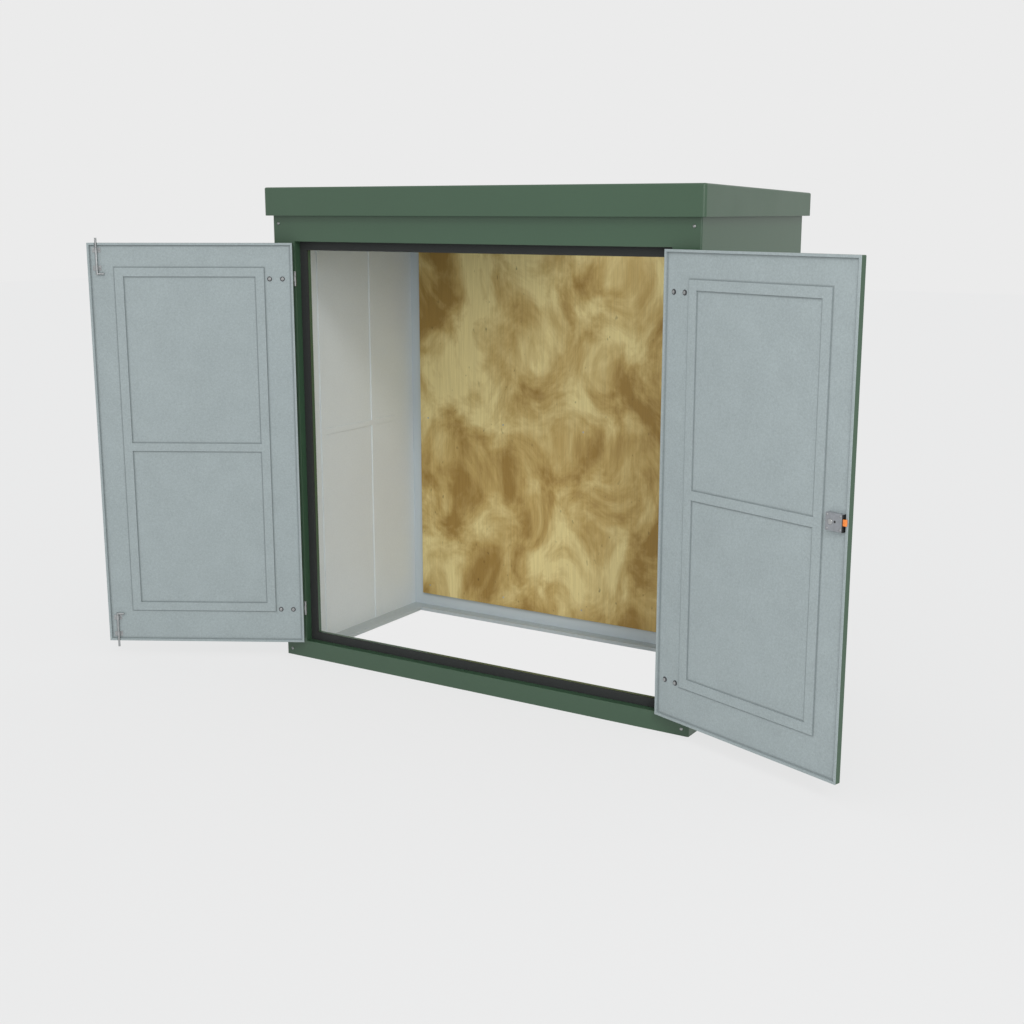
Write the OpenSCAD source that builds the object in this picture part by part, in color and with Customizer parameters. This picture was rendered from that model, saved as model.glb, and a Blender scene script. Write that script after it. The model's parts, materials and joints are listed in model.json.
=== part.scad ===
// Walk-in fibreglass enclosure: a moulded body with an open base, a one-piece
// roof, a gasketed double doorway and two side-hung doors.
// Millimetres. X to the right, Y to the back, Z up. The origin is the centre of
// the body's footprint, on the ground.

/* [Body] */
// Overall width over the side walls
body_w = 2000; // [1400:10:2600]
// Overall depth, front face to back face
body_d = 986; // [700:1:1400]
// Height of the walls, from the ground to the seat of the roof
wall_h = 2019; // [1500:1:2500]
// Thickness of the side, back and front walls
wall_t = 22; // [15:1:40]
// How far the side base flanges stand in from the side walls
side_flange_w = 79; // [40:1:150]
// How far the back and front base flanges stand in from their walls
end_flange_w = 63; // [45:1:150]
// Thickness of the base flanges
flange_t = 16; // [8:1:30]

/* [Roof] */
// How far the roof stands out past the front face
roof_front = 27.5; // [10:0.5:80]
// How far the roof stands out past each side wall
roof_side = 23.5; // [10:0.5:80]
// How far the roof stands out past the back face
roof_rear = 31; // [10:0.5:80]
// How far the rim of the roof hangs below its seat
skirt_drop = 67.5; // [20:0.5:120]
// Thickness of the hanging rim
skirt_t = 5; // [3:0.5:15]
// Height of the roof's top over its seat at the front edge
roof_front_rise = 50; // [30:1:150]
// Height of the roof's top over its seat at the back edge
roof_rear_rise = 25; // [10:1:100]

/* [Doorway] */
// Width of the front face left on each side of the doorway
jamb_w = 115; // [60:1:250]
// Height of the front face left under the doorway
sill_h = 77; // [65:1:200]
// Height of the front face left over the doorway
header_h = 175; // [80:1:400]
// Thickness of the plate that lines the doorway
reveal_t = 20; // [10:1:40]
// Gap between a shut door's lip and the gasket
gasket_gap = 6; // [5:0.5:12]
// Thickness of the stop
stop_t = 18; // [5:1:30]
// How far the stop stands into the doorway
stop_w = 37; // [20:1:60]
// Thickness of the gasket on the stop
gasket_t = 9; // [4:0.5:10]

/* [Side wall ribs and backboard] */
// How far the ribs stand out from the inside of the side walls
wall_rib_h = 4; // [2:0.5:10]
// Width of the upright ribs
wall_rib_w = 34; // [15:1:60]
// Distance from the front face to the first upright rib
first_rib_y = 251; // [100:1:320]
// Distance from the back wall to the second upright rib
second_rib_back = 304; // [200:1:340]
// Width of the level rib
level_rib_w = 28; // [15:1:60]
// Height of the middle of the level rib
level_rib_z = 983; // [300:1:1400]
// Distance from the back wall to the end of the level rib
level_rib_back = 154; // [20:1:280]
// Thickness of the plywood backboard
board_t = 18; // [9:1:30]
// Grey wall left bare on each side of the backboard
board_side_gap = 60; // [20:1:200]
// Height of the backboard's lower edge
board_bottom = 78; // [20:1:300]
// Bare wall left over the backboard
board_top_gap = 150; // [20:1:400]

/* [Doors] */
// Thickness of a door
door_t = 27; // [24:1:45]
// Gap between a door and the doorway's edge
edge_gap = 5; // [3:0.5:10]
// Gap between the two doors when they are shut
meeting_gap = 5; // [3:0.5:10]
// Thickness of the outer skin and of its turned edges
skin_t = 4; // [2:0.5:6]
// Depth from the raised lip down to the inner face of a door
door_recess = 8; // [4:0.5:12]
// Width of the raised lip round the inner face
lip_w = 10; // [8:0.5:20]
// Thickness of the lip where it laps the skin's turned edge
lip_t = 3; // [1.5:0.5:5]
// How far the stiffening ribs stand out from the inner face
rib_h = 5; // [2:0.5:8]
// Width of the stiffening ribs
rib_w = 39; // [20:1:60]
// Distance from the hinged edge to the rib frame
rib_hinge_margin = 123; // [110:1:180]
// Distance from the free edge to the rib frame
rib_free_margin = 111; // [105:1:180]
// Distance from the door's lower edge to the rib frame
rib_bottom_margin = 141; // [60:1:300]
// Distance from the door's upper edge to the rib frame
rib_top_margin = 103; // [60:1:300]
// Width of the rib across the middle
mid_rib_w = 37; // [20:1:60]
// Height of the middle rib over the door's lower edge
mid_rib_z = 880; // [300:1:1200]
// How far the left door stands open, in degrees
left_open = 150; // [0:1:170]
// How far the right door stands open, in degrees
right_open = 160; // [0:1:170]

/* [Hinges] */
// Height of a hinge
hinge_h = 62; // [40:1:120]
// Distance from a door's upper or lower edge to the middle of a hinge
hinge_inset = 150.5; // [60:0.5:300]
// Thickness of the hinge leaves
hinge_t = 3; // [2:0.5:5]
// Outer radius of the knuckles
knuckle_r = 6; // [5:0.5:8]
// Radius of the hinge pin
pin_r = 2.5; // [1.5:0.1:3.5]
// Gap between the knuckles and the front face
knuckle_seat = 1; // [0.5:0.5:3]
// Length of the door's hinge leaf, from the pin
door_leaf_l = 125; // [60:1:160]
// Front face left bare beyond the frame's hinge leaf
leaf_margin = 12.5; // [2:0.5:60]

/* [Shoot bolts] */
// Radius of a bolt's rod
rod_r = 4.8; // [3:0.1:6]
// Distance from the left door's free edge to the rods
rod_edge = 39.5; // [28:0.5:70]
// How far the top bolt's rod stands out past the door's edge
top_rod_out = 21; // [12:1:30]
// How far the bottom bolt's rod stands out past the door's edge
bottom_rod_out = 27; // [12:1:30]
// Length of a rod guide along the rod
guide_l = 21; // [12:1:30]
// Distance from the door's edge to the nearer rod guide
guide_inset = 20; // [14:1:40]
// Clear length of rod between its two guides
guide_apart = 55; // [20:1:150]
// How far the finger grip stands out from the rod, towards the hinges
grip_reach = 30; // [20:1:50]
// Thickness of the finger grip
grip_t = 8; // [5:1:9]

/* [Lock] */
// Width of the lock case
lock_w = 68; // [50:1:100]
// Height of the lock case
lock_h = 60; // [50:1:120]
// How far the lock case stands off the door's inner face
lock_d = 19; // [16:1:30]
// Height of the middle of the lock case over the door's lower edge
lock_z = 899; // [400:1:1300]
// Height of the latch tongue
tongue_h = 22; // [12:1:40]
// How far the tongue sits above the middle of the lock
tongue_rise = 4; // [0:0.5:8]
// Thickness of the latch tongue
tongue_t = 8; // [4:0.5:8]
// Length of the latch tongue
tongue_l = 45; // [35:1:60]

/* [Handle] */
// Width of the handle's backplate
plate_w = 44; // [30:1:60]
// Height of the handle's backplate
plate_h = 140; // [80:1:220]
// Thickness of the handle's backplate
plate_t = 4; // [2:0.5:8]
// Radius of the handle's neck
neck_r = 10; // [6:0.5:15]
// How far the lever stands off the outer face
lever_out = 44; // [40:1:80]
// Length of the lever from the middle of its neck
lever_l = 110; // [80:1:160]
// Height of the lever
lever_h = 18; // [12:1:30]
// Thickness of the lever
lever_t = 12; // [8:1:20]

/* [Hidden] */
$fn = 48;

green = [0.30, 0.39, 0.33];
grey = [0.62, 0.66, 0.67];
black = [0.13, 0.13, 0.13];
steel = [0.66, 0.67, 0.68];

over = 1;              // how far a cutting shape runs past what it cuts
run_fit = 0.08;        // radial clearance of a pin or rod in its bore
knuckle_gap = 0.4;     // clearance between knuckles along the pin
leaf_gap = 1.5;        // clearance from a hinge leaf to the other leaf's knuckles
slot_gap = 0.3;        // clearance round the tongue in the lock case
notch_gap = 1.5;       // clearance beside a rod in the door's edges
keeper_gap = 2.7;      // clearance round a rod in its keeper hole
guide_gap = 1.4;       // clearance from a rod guide to the gasket
guide_wall = 1.5;      // thickness of a rod guide's plate and strap
grip_gap = 3;          // clearance from the grip to the guide beside it
guide_ear = 13;        // how far a guide's plate reaches past the rod on each side
tongue_gap = 1.5;      // clearance from the tongue to the lip of the other door
tongue_back = 1;       // how far the drawn-in tongue stops short of the free edge
lock_seat = 3.5;       // gap between the lock and the raised lip beside it

front_y = -body_d / 2;
back_y = body_d / 2;
side_x = body_w / 2;
inner_x = side_x - wall_t;

// Doorway: half width, lower edge, upper edge
door_x = side_x - jamb_w;
door_z0 = sill_h;
door_z1 = wall_h - header_h;

// Door, in its own shut position: X runs from the hinge pin to the free edge,
// Y from the outer face inwards, Z up from the door's lower edge
leaf_x0 = edge_gap / 2;
leaf_w = door_x - edge_gap - meeting_gap / 2;
leaf_h = door_z1 - door_z0 - 2 * edge_gap;
pin_x = door_x - edge_gap / 2;
pin_out = knuckle_r + knuckle_seat;
frame_leaf_l = jamb_w + edge_gap / 2 - leaf_margin;
liner_y = door_t - door_recess;
hinge_zs = [hinge_inset, leaf_h - hinge_inset];

// Shoot bolts, in the left door's own position
rod_x = leaf_x0 + leaf_w - rod_edge;
rod_y = liner_y + guide_wall + rod_r;
rod_notch = rod_r + notch_gap;
keeper_r = rod_r + keeper_gap;
guides_end = guide_inset + 2 * guide_l + guide_apart;
rod_l = max(top_rod_out, bottom_rod_out) + guides_end + grip_gap + grip_t;
guide_plate_w = 2 * (rod_r + guide_ear);

// Depth from the front face to the stop: behind the shut doors and the rod guides
stop_depth = max(door_t + gasket_gap, rod_y + rod_r + guide_wall + guide_gap) + gasket_t;
frame_d = stop_depth + stop_t;

// Lock, in the right door's own position
faceplate_t = 3;
lock_x1 = leaf_x0 + leaf_w - lip_w - faceplate_t - lock_seat;
lock_x0 = lock_x1 - lock_w;
tongue_y0 = door_t + tongue_gap;
tongue_x1 = leaf_x0 + leaf_w - tongue_back;

// Box from one corner to the opposite one
module block(low, high) {
    translate(low) cube(high - low);
}

// Puts a thing on both sides: as it is on the left, mirrored on the right
module on_side(side) {
    if (side < 0) children();
    else mirror([1, 0, 0]) children();
}

// Carries a door's own position over to where the door stands open
module hung(side) {
    on_side(side)
        translate([-pin_x, front_y - pin_out, door_z0 + edge_gap])
            rotate([0, 0, side < 0 ? -left_open : -right_open])
                translate([0, pin_out, 0]) children();
}

// ---- Body ----

module side_wall(side) {
    color(green) on_side(side)
        block([-side_x, front_y + wall_t, 0], [-inner_x, back_y - wall_t, wall_h]);
}

module back_wall() {
    color(green) block([-side_x, back_y - wall_t, 0], [side_x, back_y, wall_h]);
}

// Upright of the front frame: face, lining of the doorway, and gasket stop
module jamb(side) {
    color(green) on_side(side) union() {
        block([-side_x, front_y, 0], [-door_x, front_y + wall_t, wall_h]);
        block([-door_x - reveal_t, front_y, 0], [-door_x, front_y + frame_d, wall_h]);
        block([-door_x - reveal_t, front_y + stop_depth, 0],
              [-door_x + stop_w, front_y + frame_d, wall_h]);
    }
}

// Hole that a shoot bolt's rod drops into when the left door is shut
module keeper_hole(z0, z1) {
    translate([rod_x - pin_x, front_y + rod_y, z0]) cylinder(r = keeper_r, h = z1 - z0);
}

module front_header() {
    color(green) difference() {
        union() {
            block([-door_x, front_y, door_z1], [door_x, front_y + wall_t, wall_h]);
            block([-door_x, front_y, door_z1], [door_x, front_y + stop_depth, door_z1 + reveal_t]);
            block([-door_x + stop_w, front_y + stop_depth, door_z1 - stop_w],
                  [door_x - stop_w, front_y + frame_d, door_z1 + reveal_t]);
        }
        keeper_hole(door_z1 - over, door_z1 + top_rod_out + over);
    }
}

module front_sill() {
    color(green) difference() {
        union() {
            block([-door_x, front_y, 0], [door_x, front_y + wall_t, door_z0]);
            block([-door_x, front_y, door_z0 - reveal_t], [door_x, front_y + stop_depth, door_z0]);
            block([-door_x + stop_w, front_y + stop_depth, door_z0 - reveal_t],
                  [door_x - stop_w, front_y + frame_d, door_z0 + stop_w]);
        }
        keeper_hole(door_z0 - bottom_rod_out - over, door_z0 + over);
    }
}

module side_gasket(side) {
    color(black) on_side(side)
        block([-door_x, front_y + stop_depth - gasket_t, door_z0],
              [-door_x + stop_w, front_y + stop_depth, door_z1]);
}

module level_gasket(z0) {
    color(black)
        block([-door_x + stop_w, front_y + stop_depth - gasket_t, z0],
              [door_x - stop_w, front_y + stop_depth, z0 + stop_w]);
}

// Roof moulding: a top that falls to the back, on a flat seat, with a hanging rim
module roof() {
    x1 = side_x + roof_side;
    y0 = front_y - roof_front;
    y1 = back_y + roof_rear;
    color(green) union() {
        translate([-x1, 0, wall_h]) rotate([90, 0, 90]) linear_extrude(height = 2 * x1)
            polygon([[y0, 0], [y1, 0], [y1, roof_rear_rise], [y0, roof_front_rise]]);
        difference() {
            block([-x1, y0, wall_h - skirt_drop], [x1, y1, wall_h + skirt_t]);
            block([-x1 + skirt_t, y0 + skirt_t, wall_h - skirt_drop - over],
                  [x1 - skirt_t, y1 - skirt_t, wall_h]);
        }
    }
}

module side_flange(side) {
    color(grey) on_side(side)
        block([-inner_x, front_y + frame_d, 0], [-inner_x + side_flange_w, back_y - wall_t, flange_t]);
}

module back_flange() {
    color(grey)
        block([-inner_x + side_flange_w, back_y - wall_t - end_flange_w, 0],
              [inner_x - side_flange_w, back_y - wall_t, flange_t]);
}

module front_flange() {
    color(grey)
        block([-inner_x + side_flange_w, front_y + frame_d, 0],
              [inner_x - side_flange_w, front_y + wall_t + end_flange_w, flange_t]);
}

module wall_ribs(side) {
    x0 = -inner_x;
    x1 = -inner_x + wall_rib_h;
    color(grey) on_side(side) union() {
        for (y = [front_y + first_rib_y, back_y - wall_t - second_rib_back - wall_rib_w])
            block([x0, y, flange_t], [x1, y + wall_rib_w, wall_h]);
        block([x0, front_y + first_rib_y, level_rib_z - level_rib_w / 2],
              [x1, back_y - wall_t - level_rib_back, level_rib_z + level_rib_w / 2]);
    }
}

module backboard() {
    color([0.75, 0.6, 0.35])
        block([-inner_x + board_side_gap, back_y - wall_t - board_t, board_bottom],
              [inner_x - board_side_gap, back_y - wall_t, wall_h - board_top_gap]);
}

// ---- Hinges ----

// Knuckle of a hinge round the pin, with the tab that ties it to its leaf
module knuckle(z0, z1, side) {
    translate([0, -pin_out, z0]) cylinder(r = knuckle_r, h = z1 - z0);
    block([side < 0 ? -knuckle_r - leaf_gap - over : 0, -hinge_t, z0],
          [side < 0 ? 0 : knuckle_r + leaf_gap + over, 0, z1]);
}

// Frame's half of a hinge: leaf, upper and lower knuckle, and the pin
module frame_hinge(side, z) {
    third = hinge_h / 3;
    color(steel) on_side(side) translate([-pin_x, front_y, door_z0 + edge_gap + z - hinge_h / 2]) union() {
        block([-frame_leaf_l, -hinge_t, 0], [-knuckle_r - leaf_gap, 0, hinge_h]);
        knuckle(0, third - knuckle_gap / 2, -1);
        knuckle(2 * third + knuckle_gap / 2, hinge_h, -1);
        translate([0, -pin_out, 0]) cylinder(r = pin_r, h = hinge_h);
    }
}

// Door's half of a hinge: leaf and middle knuckle, bored for the pin
module door_hinge(side, z) {
    third = hinge_h / 3;
    color(steel) hung(side) translate([0, 0, z - hinge_h / 2]) difference() {
        union() {
            block([knuckle_r + leaf_gap, -hinge_t, 0], [door_leaf_l, 0, hinge_h]);
            knuckle(third + knuckle_gap / 2, 2 * third - knuckle_gap / 2, 1);
        }
        translate([0, -pin_out, -over]) cylinder(r = pin_r + run_fit, h = hinge_h + 2 * over);
    }
}

// ---- Doors, each drawn in its own shut position and hung open ----

// Notches that let the shoot bolts' rods out through the top and bottom edge
module rod_notches() {
    for (z = [-over, leaf_h - lip_w - over])
        block([rod_x - rod_notch, liner_y, z], [rod_x + rod_notch, door_t + over, z + lip_w + 2 * over]);
}

// Outer skin: the face with its edges turned in
module door_skin(side) {
    x1 = leaf_x0 + leaf_w;
    color(green) hung(side) difference() {
        block([leaf_x0, 0, 0], [x1, door_t - lip_t, leaf_h]);
        block([leaf_x0 + skin_t, skin_t, skin_t], [x1 - skin_t, door_t, leaf_h - skin_t]);
        if (side < 0) rod_notches();
    }
}

// Inner liner: the cored panel and the raised lip that laps the skin's edges
module door_liner(side) {
    x1 = leaf_x0 + leaf_w;
    color(grey) hung(side) difference() {
        union() {
            block([leaf_x0 + skin_t, skin_t, skin_t], [x1 - skin_t, door_t - lip_t, leaf_h - skin_t]);
            block([leaf_x0, door_t - lip_t, 0], [x1, door_t, leaf_h]);
        }
        block([leaf_x0 + lip_w, liner_y, lip_w], [x1 - lip_w, door_t + over, leaf_h - lip_w]);
        if (side < 0) rod_notches();
    }
}

// Raised stiffening frame on the inner face, with a rib across the middle
module door_ribs(side) {
    x0 = leaf_x0 + rib_hinge_margin;
    x1 = leaf_x0 + leaf_w - rib_free_margin;
    z1 = leaf_h - rib_top_margin;
    color(grey) hung(side) difference() {
        block([x0, liner_y, rib_bottom_margin], [x1, liner_y + rib_h, z1]);
        block([x0 + rib_w, liner_y - over, rib_bottom_margin + rib_w],
              [x1 - rib_w, liner_y + rib_h + over, mid_rib_z - mid_rib_w / 2]);
        block([x0 + rib_w, liner_y - over, mid_rib_z + mid_rib_w / 2],
              [x1 - rib_w, liner_y + rib_h + over, z1 - rib_w]);
    }
}

// ---- Shoot bolts on the left door, drawn for the top edge ----

// The bottom bolt is the top bolt turned upside down
module at_edge(top) {
    if (top) translate([0, 0, leaf_h]) children();
    else mirror([0, 0, 1]) children();
}

// Two strap guides that hold a rod to the inner face
module bolt_guides(top) {
    first_z = -guide_inset - guide_l;
    color(steel) hung(-1) at_edge(top) difference() {
        for (z = [first_z, first_z - guide_apart - guide_l]) {
            block([rod_x - guide_plate_w / 2, liner_y, z],
                  [rod_x + guide_plate_w / 2, liner_y + guide_wall, z + guide_l]);
            block([rod_x - rod_r - guide_wall, liner_y, z], [rod_x + rod_r + guide_wall, rod_y, z + guide_l]);
            translate([rod_x, rod_y, z]) cylinder(r = rod_r + guide_wall, h = guide_l);
        }
        translate([rod_x, rod_y, -leaf_h / 2]) cylinder(r = rod_r + run_fit, h = leaf_h / 2 + over);
    }
}

// Rod with a finger grip turned out at its inner end
module shoot_bolt(top) {
    rod_out = top ? top_rod_out : bottom_rod_out;
    z = rod_out - rod_l;
    color(steel) hung(-1) at_edge(top) union() {
        translate([rod_x, rod_y, z]) cylinder(r = rod_r, h = rod_l);
        translate([rod_x, rod_y, z + grip_t / 2]) rotate([0, -90, 0]) cylinder(d = grip_t, h = grip_reach);
    }
}

// ---- Lock on the right door ----

module tongue_shape(gap) {
    z = lock_z + tongue_rise - tongue_h / 2;
    block([tongue_x1 - tongue_l - gap, tongue_y0 - gap, z - gap],
          [tongue_x1 + (gap > 0 ? over + lip_w : 0), tongue_y0 + tongue_t + gap, z + tongue_h + gap]);
}

module lock_case() {
    z = lock_z - lock_h / 2;
    color(grey) hung(1) difference() {
        block([lock_x0, liner_y, z], [lock_x1, liner_y + lock_d, z + lock_h]);
        tongue_shape(slot_gap);
    }
}

module lock_faceplate() {
    z = lock_z - lock_h / 2;
    color(black) hung(1) difference() {
        block([lock_x1, liner_y, z], [lock_x1 + faceplate_t, liner_y + lock_d, z + lock_h]);
        tongue_shape(slot_gap);
    }
}

module latch_tongue() {
    color([0.94, 0.5, 0.15]) hung(1) tongue_shape(0);
}

// Plain lever on a backplate, on the outer face behind the lock
module door_handle() {
    x = (lock_x0 + lock_x1) / 2;
    color(steel) hung(1) union() {
        block([x - plate_w / 2, -plate_t, lock_z - plate_h / 2], [x + plate_w / 2, 0, lock_z + plate_h / 2]);
        translate([x, 0, lock_z]) rotate([90, 0, 0]) cylinder(r = neck_r, h = lever_out - lever_t / 2);
        block([x - lever_l, -lever_out, lock_z - lever_h / 2],
              [x + neck_r, lever_t - lever_out, lock_z + lever_h / 2]);
    }
}

side_wall(-1);  // left_wall
side_wall(1);  // right_wall
back_wall();
jamb(-1);  // left_jamb
jamb(1);  // right_jamb
front_header();
front_sill();
roof();
side_gasket(-1);  // left_gasket
side_gasket(1);  // right_gasket
level_gasket(door_z1 - stop_w);  // top_gasket
level_gasket(door_z0);  // bottom_gasket
side_flange(-1);  // left_base_flange
side_flange(1);  // right_base_flange
back_flange();  // back_base_flange
front_flange();  // front_base_flange
wall_ribs(-1);  // left_wall_ribs
wall_ribs(1);  // right_wall_ribs
backboard();
frame_hinge(-1, hinge_zs[1]);  // left_frame_hinge_top
frame_hinge(-1, hinge_zs[0]);  // left_frame_hinge_bottom
frame_hinge(1, hinge_zs[1]);  // right_frame_hinge_top
frame_hinge(1, hinge_zs[0]);  // right_frame_hinge_bottom
door_skin(-1);  // left_door_skin
door_liner(-1);  // left_door_liner
door_ribs(-1);  // left_door_ribs
door_hinge(-1, hinge_zs[1]);  // left_door_hinge_top
door_hinge(-1, hinge_zs[0]);  // left_door_hinge_bottom
bolt_guides(true);  // top_bolt_guides
bolt_guides(false);  // bottom_bolt_guides
shoot_bolt(true);  // top_bolt
shoot_bolt(false);  // bottom_bolt
door_skin(1);  // right_door_skin
door_liner(1);  // right_door_liner
door_ribs(1);  // right_door_ribs
door_hinge(1, hinge_zs[1]);  // right_door_hinge_top
door_hinge(1, hinge_zs[0]);  // right_door_hinge_bottom
lock_case();
lock_faceplate();
door_handle();
latch_tongue();
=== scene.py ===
"""Looks of a walk-in fibreglass enclosure: mouldings, ribbed doors, plywood backboard and fittings.

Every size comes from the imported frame: the moulded body and roof are lofted round the frame's walls,
the door liners are height fields over the frame's ribs, and the fasteners are set out by a node tree.
"""
import json
import logging
import math
from dataclasses import dataclass, field
from enum import Enum
from typing import Callable, Iterator, Sequence

import bmesh
import bpy
from mathutils import Matrix, Vector


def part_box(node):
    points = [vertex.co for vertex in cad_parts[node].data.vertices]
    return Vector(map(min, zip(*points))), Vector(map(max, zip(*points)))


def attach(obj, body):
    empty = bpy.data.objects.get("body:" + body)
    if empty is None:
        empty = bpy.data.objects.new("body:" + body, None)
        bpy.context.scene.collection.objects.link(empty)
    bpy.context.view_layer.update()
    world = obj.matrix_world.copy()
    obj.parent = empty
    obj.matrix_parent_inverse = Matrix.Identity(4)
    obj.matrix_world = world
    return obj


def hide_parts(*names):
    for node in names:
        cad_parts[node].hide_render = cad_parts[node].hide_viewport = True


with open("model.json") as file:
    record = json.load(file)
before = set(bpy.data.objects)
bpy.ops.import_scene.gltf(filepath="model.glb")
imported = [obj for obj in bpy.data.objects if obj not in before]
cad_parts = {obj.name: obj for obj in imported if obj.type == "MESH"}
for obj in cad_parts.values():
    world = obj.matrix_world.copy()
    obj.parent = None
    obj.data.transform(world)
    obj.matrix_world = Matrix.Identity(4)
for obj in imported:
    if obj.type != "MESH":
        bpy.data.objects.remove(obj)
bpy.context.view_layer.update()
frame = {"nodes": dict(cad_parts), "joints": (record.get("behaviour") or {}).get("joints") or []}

MM = 0.001
LOG = logging.getLogger("enclosure")

Colour = tuple[float, float, float]
Point = tuple[float, float, float]
Loop = list[Vector]


# ---------------------------------------------------------------- node graphs


class Graph:
    """A material's node tree with a Principled shader, and short calls that add to it."""

    def __init__(self, name: str) -> None:
        """Makes the material and its empty tree.

        Args:
            name: the material's name.
        """
        self.material = bpy.data.materials.new(name)
        self.material.use_nodes = True
        self.tree = self.material.node_tree
        self.shader = self.tree.nodes["Principled BSDF"]
        self.coords = self.node("ShaderNodeTexCoord").outputs["Object"]

    def node(self, kind: str, **settings: object) -> bpy.types.Node:
        """Adds a node.

        Args:
            kind: the node's type name.
            **settings: attributes to set on the node.

        Returns:
            The new node.
        """
        made = self.tree.nodes.new(kind)
        for key, value in settings.items():
            setattr(made, key, value)
        return made

    def feed(self, socket: bpy.types.NodeSocket, value: object) -> None:
        """Links a socket to an output, or sets it to a plain value."""
        if isinstance(value, bpy.types.NodeSocket):
            self.tree.links.new(value, socket)
        else:
            socket.default_value = value

    def set(self, **values: object) -> None:
        """Feeds the shader's inputs, named with underscores for spaces."""
        for key, value in values.items():
            self.feed(self.shader.inputs[key.replace("_", " ")], value)

    def stretched(self, scale: Point) -> bpy.types.NodeSocket:
        """Object coordinates scaled along each axis."""
        mapping = self.node("ShaderNodeMapping")
        mapping.inputs["Scale"].default_value = scale
        self.feed(mapping.inputs["Vector"], self.coords)
        return mapping.outputs["Vector"]

    def noise(self, scale: float, detail: float = 3.0, rough: float = 0.5,
              stretch: Point = (1, 1, 1), twist: float = 0.0) -> bpy.types.NodeSocket:
        """Adds a noise pattern.

        Args:
            scale: how many features fit in a metre.
            detail: how many finer layers there are.
            rough: the strength of the finer layers.
            stretch: a further scale along each axis.
            twist: how much the pattern bends itself.

        Returns:
            The pattern's value, near 0.5 on average.
        """
        made = self.node("ShaderNodeTexNoise")
        self.feed(made.inputs["Vector"], self.stretched(stretch))
        for key, value in (("Scale", scale), ("Detail", detail), ("Roughness", rough), ("Distortion", twist)):
            made.inputs[key].default_value = value
        return made.outputs["Fac"]

    def ramp(self, value: bpy.types.NodeSocket, *stops: tuple[float, Colour]) -> bpy.types.NodeSocket:
        """Turns a value into a colour through the given stops."""
        made = self.node("ShaderNodeValToRGB")
        band = made.color_ramp.elements
        while len(band) < len(stops):
            band.new(0.5)
        for element, (place, colour) in zip(band, stops):
            element.position = place
            element.color = (*colour, 1)
        self.feed(made.inputs["Fac"], value)
        return made.outputs["Color"]

    def spread(self, value: bpy.types.NodeSocket, low: float, high: float,
               start: float = 0.3, end: float = 0.7) -> bpy.types.NodeSocket:
        """Maps a value from start..end to low..high, held at both ends."""
        made = self.node("ShaderNodeMapRange")
        for key, number in (("From Min", start), ("From Max", end), ("To Min", low), ("To Max", high)):
            made.inputs[key].default_value = number
        self.feed(made.inputs["Value"], value)
        return made.outputs["Result"]

    def sum(self, operation: str, a: object, b: object) -> bpy.types.NodeSocket:
        """Works out one step of arithmetic on two values."""
        made = self.node("ShaderNodeMath", operation=operation)
        self.feed(made.inputs[0], a)
        self.feed(made.inputs[1], b)
        return made.outputs["Value"]

    def blend(self, share: object, a: object, b: object, mode: str = "MIX") -> bpy.types.NodeSocket:
        """Mixes two colours by a share from 0 to 1."""
        made = self.node("ShaderNodeMix", data_type="RGBA", blend_type=mode)
        self.feed(made.inputs["Factor"], share)
        self.feed(made.inputs["A"], (*a, 1) if isinstance(a, tuple) else a)
        self.feed(made.inputs["B"], (*b, 1) if isinstance(b, tuple) else b)
        return made.outputs["Result"]

    def bump(self, height: bpy.types.NodeSocket, distance: float, strength: float = 1.0) -> None:
        """Adds relief of a given depth in metres to the shader's normal."""
        made = self.node("ShaderNodeBump")
        made.inputs["Strength"].default_value = strength
        made.inputs["Distance"].default_value = distance
        self.feed(made.inputs["Height"], height)
        if self.shader.inputs["Normal"].is_linked:
            self.feed(made.inputs["Normal"], self.shader.inputs["Normal"].links[0].from_socket)
        self.feed(self.shader.inputs["Normal"], made.outputs["Normal"])


# ------------------------------------------------------------------- finishes


@dataclass(frozen=True)
class Gelcoat:
    """Moulded gelcoat: an even colour with a faint cloudiness and a slight ripple in its gloss."""

    name: str
    colour: Colour
    rough: float = 0.38
    cloud: float = 0.06

    def paint(self, graph: Graph) -> bpy.types.NodeSocket:
        """The colour, a little cloudy."""
        low = tuple(c * (1 - self.cloud) for c in self.colour)
        high = tuple(c * (1 + self.cloud) for c in self.colour)
        return graph.ramp(graph.noise(3.1, 4, 0.6), (0.32, low), (0.68, high))

    def build(self) -> bpy.types.Material:
        """Makes the material."""
        graph = Graph(self.name)
        graph.set(Base_Color=self.paint(graph),
                  Roughness=graph.spread(graph.noise(7, 3), self.rough - 0.02, self.rough + 0.04))
        graph.shader.inputs["Specular IOR Level"].default_value = 0.58
        graph.bump(graph.noise(24, 2), 0.5 * MM, 0.2)
        graph.bump(graph.noise(420, 2), 0.05 * MM, 0.5)
        return graph.material


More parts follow.
